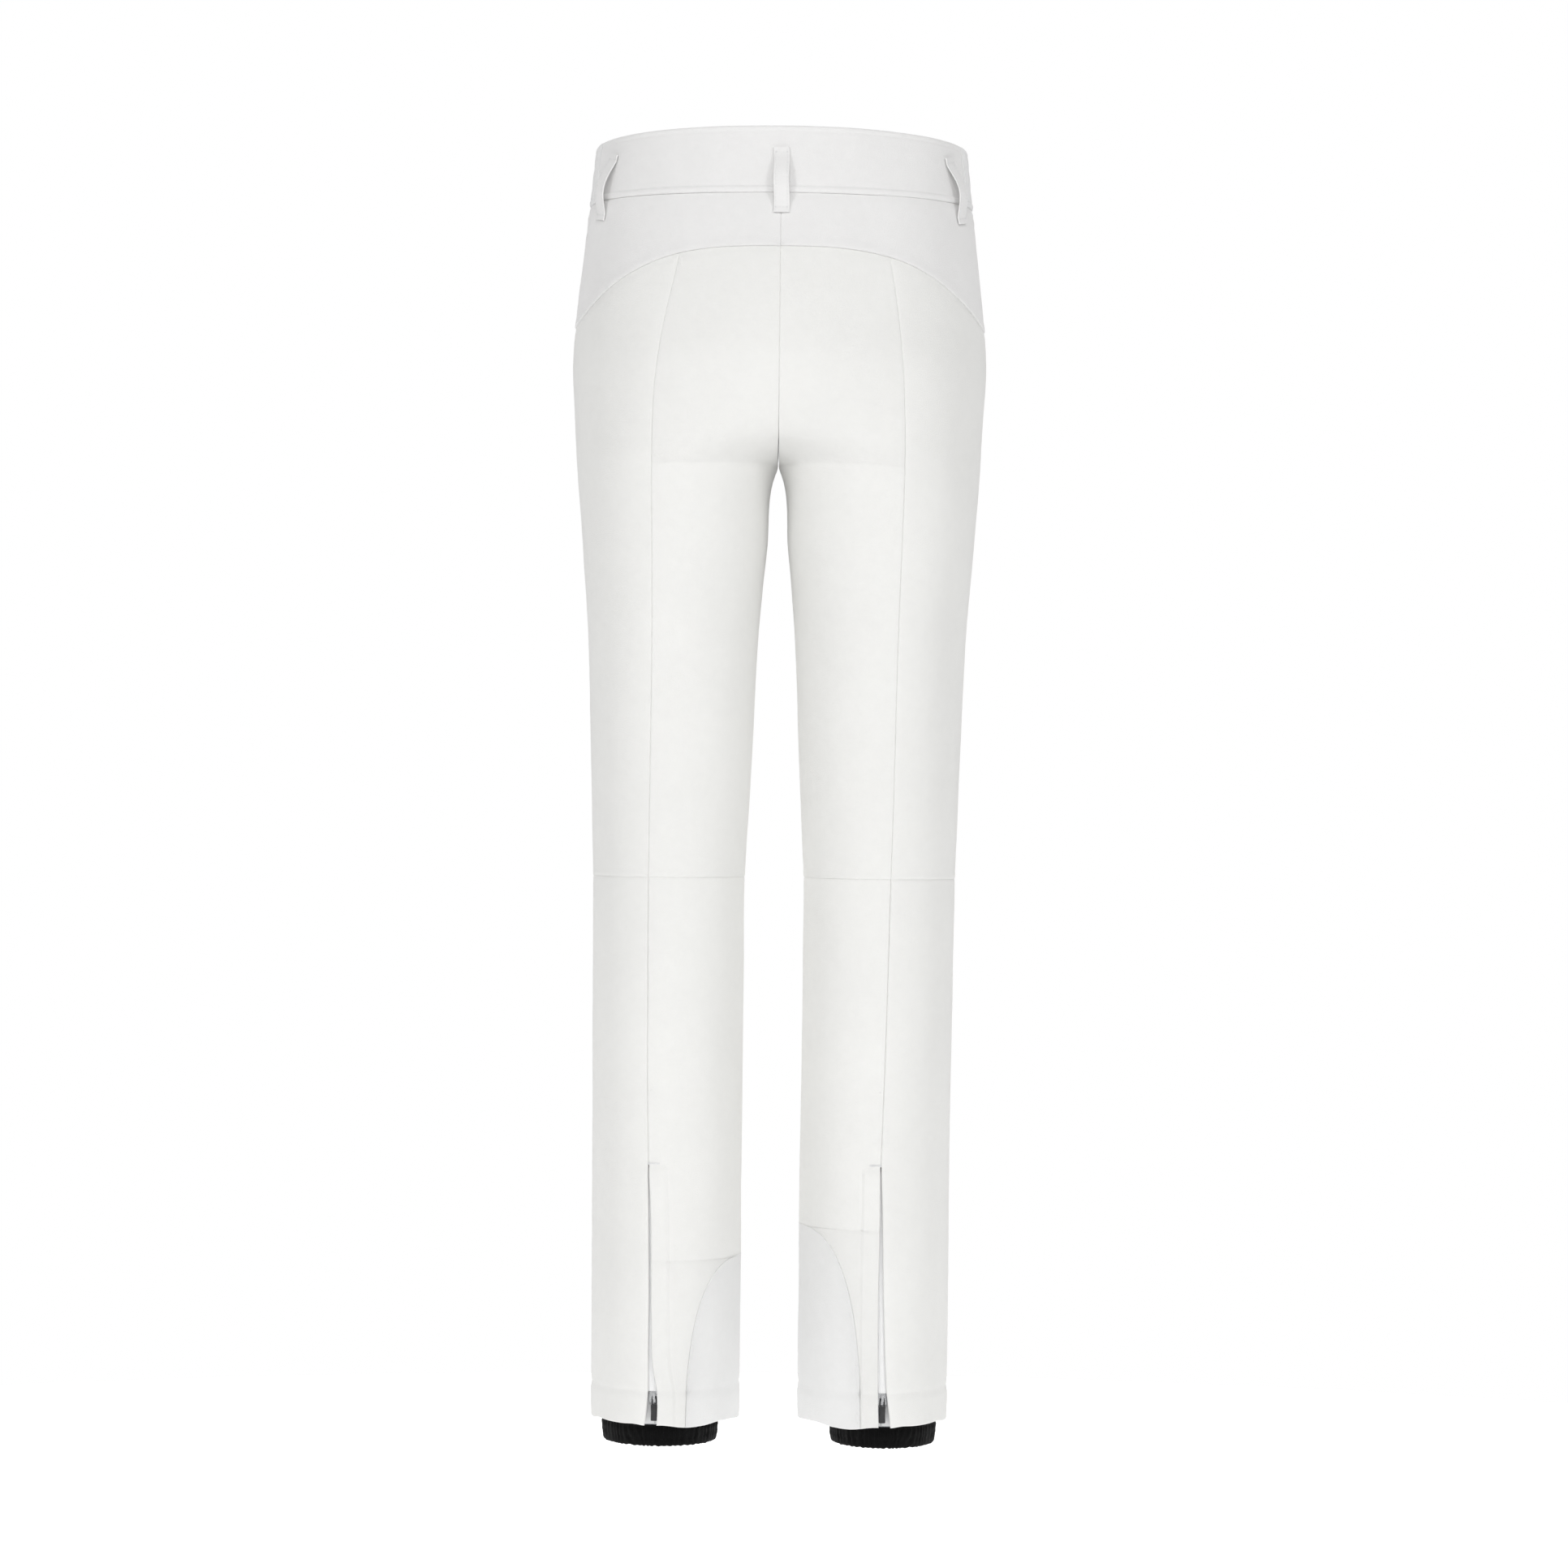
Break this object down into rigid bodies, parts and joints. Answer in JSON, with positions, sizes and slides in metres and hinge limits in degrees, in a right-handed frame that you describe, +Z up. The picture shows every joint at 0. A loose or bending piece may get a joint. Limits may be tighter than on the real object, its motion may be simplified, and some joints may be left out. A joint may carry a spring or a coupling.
{
  "type": "ski pants",
  "caption": "White softshell ski pants with a contoured waistband and belt loops, back yoke, zipped pockets and hems, scuff guards and elastic snow gaiters.",
  "frame": {"origin": "middle of the waist opening, level with the waistband's top edge at the sides", "axes": "+Z up, the front of the garment faces -Y, the back +Y, and the wearer's left is +X"},
  "size_m": [0.3404, 0.2362, 1.0703],
  "materials": {
    "softshell": "matt white three-layer softshell with a fine weave",
    "softshell_yoke": "matt white softshell, cut across the stretch",
    "waistband": "matt white doubled softshell",
    "elastic": "white softshell gathered on an elastic",
    "brushed_lining": "pale grey brushed tricot",
    "guard_cloth": "white hard-wearing plain-weave cloth",
    "mesh_lining": "pale grey knitted mesh",
    "gaiter_cloth": "black coated taffeta with fine gathers",
    "gaiter_elastic": "black gathered elastic",
    "zip_tape": "white woven tape",
    "zip_coil": "white nylon coil",
    "slider_metal": "cast slider, white enamel over zinc",
    "puller_grip": "dark grey moulded grip",
    "snap_metal": "satin press stud",
    "hanger_tape": "white grosgrain tape"
  },
  "bodies": {
    "pants": {"back_side_panel_left": "softshell", "back_side_panel_right": "softshell", "back_yoke_left": "softshell_yoke", "back_yoke_right": "softshell_yoke", "belt_loop_back_center": "waistband", "belt_loop_back_left": "waistband", "belt_loop_back_right": "waistband", "belt_loop_front_left": "waistband", "belt_loop_front_right": "waistband", "calf_inner_panel_left": "softshell", "calf_inner_panel_right": "softshell", "calf_outer_panel_left": "softshell", "calf_outer_panel_right": "softshell", "fly_shield": "mesh_lining", "fly_zip_coils": "zip_coil", "fly_zip_tapes": "zip_tape", "front_panel_left": "softshell", "front_panel_right": "softshell", "gaiter_sleeve_left": "gaiter_cloth", "gaiter_sleeve_right": "gaiter_cloth", "hanger_loops": "hanger_tape", "hem_facings": "guard_cloth", "hem_gusset_left": "mesh_lining", "hem_gusset_right": "mesh_lining", "hem_zip_coils_left": "zip_coil", "hem_zip_coils_right": "zip_coil", "hem_zip_tapes_left": "zip_tape", "hem_zip_tapes_right": "zip_tape", "pocket_bags": "mesh_lining", "pocket_zip_coils": "zip_coil", "pocket_zip_tapes": "zip_tape", "scuff_guard_left": "guard_cloth", "scuff_guard_right": "guard_cloth", "seat_panel_left": "softshell", "seat_panel_right": "softshell", "shin_panel_left": "softshell", "shin_panel_right": "softshell", "snap_studs": "snap_metal", "waist_elastic_left": "elastic", "waist_elastic_right": "elastic", "waist_facing": "brushed_lining", "waistband_back": "waistband", "waistband_front_left": "waistband", "waistband_front_right": "waistband"},
    "hem_slider_left": {"hem_slider_left": "slider_metal"},
    "hem_puller_left": {"hem_puller_left": "puller_grip"},
    "pocket_slider_left": {"pocket_slider_left": "slider_metal"},
    "pocket_puller_left": {"pocket_puller_left": "puller_grip"},
    "gaiter_cuff_left": {"gaiter_cuff_left": "gaiter_elastic"},
    "hem_slider_right": {"hem_slider_right": "slider_metal"},
    "hem_puller_right": {"hem_puller_right": "puller_grip"},
    "pocket_slider_right": {"pocket_slider_right": "slider_metal"},
    "pocket_puller_right": {"pocket_puller_right": "puller_grip"},
    "gaiter_cuff_right": {"gaiter_cuff_right": "gaiter_elastic"},
    "fly_slider": {"fly_slider": "slider_metal"},
    "fly_puller": {"fly_puller": "puller_grip"},
    "waist_tab": {"waist_tab": "waistband", "snap_caps": "snap_metal"}
  },
  "joints": [
    {"name": "hem_slide_left", "type": "slide", "parent": "pants", "child": "hem_slider_left", "axis": [0.0046, -0.0539, 0.9985], "range_m": [0, 0.174]},
    {"name": "hem_pull_left", "type": "hinge", "parent": "hem_slider_left", "child": "hem_puller_left", "pos_m": [0.09218, 0.08396, -1.01715], "axis": [0.9859, -0.1667, -0.0135], "range_deg": [0, 120]},
    {"name": "pocket_slide_left", "type": "slide", "parent": "pants", "child": "pocket_slider_left", "axis": [0.1807, 0.053, -0.9821], "range_m": [0, 0.0943]},
    {"name": "pocket_pull_left", "type": "hinge", "parent": "pocket_slider_left", "child": "pocket_puller_left", "pos_m": [0.11288, -0.07454, -0.08792], "axis": [-0.78, -0.6005, -0.1759], "range_deg": [0, 150]},
    {"name": "gaiter_slide_left", "type": "slide", "parent": "pants", "child": "gaiter_cuff_left", "axis": [0, 0, 1], "range_m": [0, 0.06], "deforming": ["gaiter_sleeve_left"]},
    {"name": "hem_slide_right", "type": "slide", "parent": "pants", "child": "hem_slider_right", "axis": [-0.0046, -0.0539, 0.9985], "range_m": [0, 0.174]},
    {"name": "hem_pull_right", "type": "hinge", "parent": "hem_slider_right", "child": "hem_puller_right", "pos_m": [-0.09218, 0.08396, -1.01715], "axis": [0.9859, 0.1667, 0.0135], "range_deg": [0, 120]},
    {"name": "pocket_slide_right", "type": "slide", "parent": "pants", "child": "pocket_slider_right", "axis": [-0.1807, 0.053, -0.9821], "range_m": [0, 0.0943]},
    {"name": "pocket_pull_right", "type": "hinge", "parent": "pocket_slider_right", "child": "pocket_puller_right", "pos_m": [-0.11288, -0.07454, -0.08792], "axis": [-0.78, 0.6005, 0.1759], "range_deg": [0, 150]},
    {"name": "gaiter_slide_right", "type": "slide", "parent": "pants", "child": "gaiter_cuff_right", "axis": [0, 0, 1], "range_m": [0, 0.06], "deforming": ["gaiter_sleeve_right"]},
    {"name": "fly_slide", "type": "slide", "parent": "pants", "child": "fly_slider", "axis": [0, -0.0175, -0.9998], "range_m": [0, 0.086]},
    {"name": "fly_pull", "type": "hinge", "parent": "fly_slider", "child": "fly_puller", "pos_m": [0, -0.10412, -0.07305], "axis": [-1, 0, 0], "range_deg": [0, 150]},
    {"name": "waist_tab_fold", "type": "hinge", "parent": "pants", "child": "waist_tab", "pos_m": [0.0447, -0.09942, -0.03], "axis": [0, 0.0858, 0.9963], "range_deg": [0, 110]}
  ]
}
